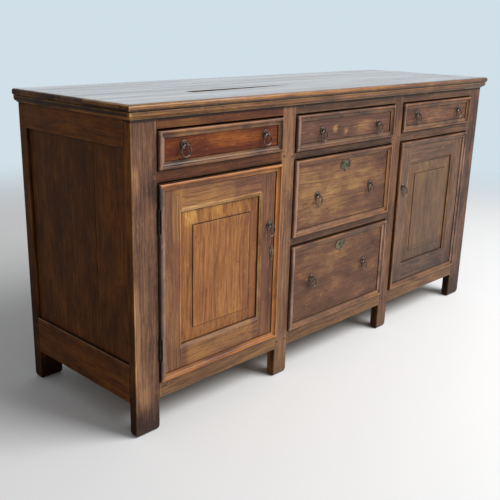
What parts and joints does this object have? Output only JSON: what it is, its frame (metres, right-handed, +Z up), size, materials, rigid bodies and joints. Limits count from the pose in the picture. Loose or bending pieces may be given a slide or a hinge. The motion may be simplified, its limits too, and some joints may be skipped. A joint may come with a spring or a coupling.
{
  "type": "dresser base",
  "caption": "Long joined wooden dresser base on square feet, with drawers and panelled cupboard doors that have raised moulded edges and hanging ring pulls.",
  "frame": {"origin": "on the floor under the middle of the top", "axes": "+X along the front to the viewer's right, +Y from front to back, +Z up"},
  "size_m": [1.646, 0.504, 0.84],
  "materials": {
    "aged_oak": "waxed",
    "inner_wood": "unfinished",
    "wrought_iron": "dark forged",
    "aged_bronze": "tarnished"
  },
  "bodies": {
    "carcase": {"back_boards": "inner_wood", "back_posts": "aged_oak", "back_rails": "inner_wood", "drawer_runners": "inner_wood", "end_panels": "aged_oak", "end_rails": "aged_oak", "floor_boards": "inner_wood", "front_rails": "aged_oak", "front_uprights": "aged_oak", "joint_pegs": "aged_oak", "partitions": "inner_wood", "post_hinge_leaves": "wrought_iron", "top_board_back": "aged_oak", "top_board_front": "aged_oak", "top_edge_moulding": "aged_oak"},
    "left_drawer": {"left_drawer_box": "inner_wood", "left_drawer_edge_moulding": "aged_oak", "left_drawer_front": "aged_oak", "left_drawer_pulls": "wrought_iron"},
    "centre_drawer": {"centre_drawer_box": "inner_wood", "centre_drawer_edge_moulding": "aged_oak", "centre_drawer_front": "aged_oak", "centre_drawer_pulls": "wrought_iron"},
    "right_drawer": {"right_drawer_box": "inner_wood", "right_drawer_edge_moulding": "aged_oak", "right_drawer_front": "aged_oak", "right_drawer_pulls": "wrought_iron"},
    "middle_drawer": {"middle_drawer_box": "inner_wood", "middle_drawer_edge_moulding": "aged_oak", "middle_drawer_front": "aged_oak", "middle_drawer_keyhole_plate": "aged_bronze", "middle_drawer_pulls": "wrought_iron"},
    "bottom_drawer": {"bottom_drawer_box": "inner_wood", "bottom_drawer_edge_moulding": "aged_oak", "bottom_drawer_front": "aged_oak", "bottom_drawer_keyhole_plate": "aged_bronze", "bottom_drawer_pulls": "wrought_iron"},
    "left_door": {"left_door_edge_moulding": "aged_oak", "left_door_frame": "aged_oak", "left_door_hinge_leaves": "wrought_iron", "left_door_keyhole_plate": "aged_bronze", "left_door_panel": "aged_oak", "left_door_pull": "wrought_iron"},
    "right_door": {"right_door_edge_moulding": "aged_oak", "right_door_frame": "aged_oak", "right_door_hinge_leaves": "wrought_iron", "right_door_panel": "aged_oak", "right_door_pull": "wrought_iron"},
    "left_drawer_ring_left": {"left_drawer_ring_left": "wrought_iron"},
    "left_drawer_ring_right": {"left_drawer_ring_right": "wrought_iron"},
    "centre_drawer_ring_left": {"centre_drawer_ring_left": "wrought_iron"},
    "centre_drawer_ring_right": {"centre_drawer_ring_right": "wrought_iron"},
    "right_drawer_ring_left": {"right_drawer_ring_left": "wrought_iron"},
    "right_drawer_ring_right": {"right_drawer_ring_right": "wrought_iron"},
    "middle_drawer_ring_left": {"middle_drawer_ring_left": "wrought_iron"},
    "middle_drawer_ring_right": {"middle_drawer_ring_right": "wrought_iron"},
    "bottom_drawer_ring_left": {"bottom_drawer_ring_left": "wrought_iron"},
    "bottom_drawer_ring_right": {"bottom_drawer_ring_right": "wrought_iron"},
    "left_door_ring": {"left_door_ring": "wrought_iron"},
    "right_door_ring": {"right_door_ring": "wrought_iron"}
  },
  "joints": [
    {"name": "left_drawer_slide", "type": "slide", "parent": "carcase", "child": "left_drawer", "axis": [0, -1, 0], "range_m": [0, 0.3]},
    {"name": "left_drawer_ring_left_swing", "type": "hinge", "parent": "left_drawer", "child": "left_drawer_ring_left", "pos_m": [-0.649, -0.2449, 0.73575], "axis": [-1, 0, 0], "range_deg": [-6, 160]},
    {"name": "left_drawer_ring_right_swing", "type": "hinge", "parent": "left_drawer", "child": "left_drawer_ring_right", "pos_m": [-0.361, -0.2449, 0.73575], "axis": [-1, 0, 0], "range_deg": [-6, 160]},
    {"name": "centre_drawer_slide", "type": "slide", "parent": "carcase", "child": "centre_drawer", "axis": [0, -1, 0], "range_m": [0, 0.3]},
    {"name": "centre_drawer_ring_left_swing", "type": "hinge", "parent": "centre_drawer", "child": "centre_drawer_ring_left", "pos_m": [-0.1175, -0.2449, 0.72375], "axis": [-1, 0, 0], "range_deg": [-6, 160]},
    {"name": "centre_drawer_ring_right_swing", "type": "hinge", "parent": "centre_drawer", "child": "centre_drawer_ring_right", "pos_m": [0.1605, -0.2449, 0.72375], "axis": [-1, 0, 0], "range_deg": [-6, 160]},
    {"name": "right_drawer_slide", "type": "slide", "parent": "carcase", "child": "right_drawer", "axis": [0, -1, 0], "range_m": [0, 0.3]},
    {"name": "right_drawer_ring_left_swing", "type": "hinge", "parent": "right_drawer", "child": "right_drawer_ring_left", "pos_m": [0.3865, -0.2449, 0.73575], "axis": [-1, 0, 0], "range_deg": [-6, 160]},
    {"name": "right_drawer_ring_right_swing", "type": "hinge", "parent": "right_drawer", "child": "right_drawer_ring_right", "pos_m": [0.6525, -0.2449, 0.73575], "axis": [-1, 0, 0], "range_deg": [-6, 160]},
    {"name": "middle_drawer_slide", "type": "slide", "parent": "carcase", "child": "middle_drawer", "axis": [0, -1, 0], "range_m": [0, 0.3]},
    {"name": "middle_drawer_ring_left_swing", "type": "hinge", "parent": "middle_drawer", "child": "middle_drawer_ring_left", "pos_m": [-0.1265, -0.2449, 0.53375], "axis": [-1, 0, 0], "range_deg": [-6, 160]},
    {"name": "middle_drawer_ring_right_swing", "type": "hinge", "parent": "middle_drawer", "child": "middle_drawer_ring_right", "pos_m": [0.1385, -0.2449, 0.53375], "axis": [-1, 0, 0], "range_deg": [-6, 160]},
    {"name": "bottom_drawer_slide", "type": "slide", "parent": "carcase", "child": "bottom_drawer", "axis": [0, -1, 0], "range_m": [0, 0.3]},
    {"name": "bottom_drawer_ring_left_swing", "type": "hinge", "parent": "bottom_drawer", "child": "bottom_drawer_ring_left", "pos_m": [-0.1345, -0.2449, 0.27975], "axis": [-1, 0, 0], "range_deg": [-6, 160]},
    {"name": "bottom_drawer_ring_right_swing", "type": "hinge", "parent": "bottom_drawer", "child": "bottom_drawer_ring_right", "pos_m": [0.1295, -0.2449, 0.27975], "axis": [-1, 0, 0], "range_deg": [-6, 160]},
    {"name": "left_door_hinge", "type": "hinge", "parent": "carcase", "child": "left_door", "pos_m": [-0.731, -0.2392, 0.39], "axis": [0, 0, -1], "range_deg": [0, 110]},
    {"name": "left_door_ring_swing", "type": "hinge", "parent": "left_door", "child": "left_door_ring", "pos_m": [-0.334, -0.2449, 0.4795], "axis": [-1, 0, 0], "range_deg": [-6, 160]},
    {"name": "right_door_hinge", "type": "hinge", "parent": "carcase", "child": "right_door", "pos_m": [0.731, -0.2392, 0.39], "axis": [0, 0, 1], "range_deg": [0, 110]},
    {"name": "right_door_ring_swing", "type": "hinge", "parent": "right_door", "child": "right_door_ring", "pos_m": [0.336, -0.2449, 0.4955], "axis": [-1, 0, 0], "range_deg": [-6, 160]}
  ]
}
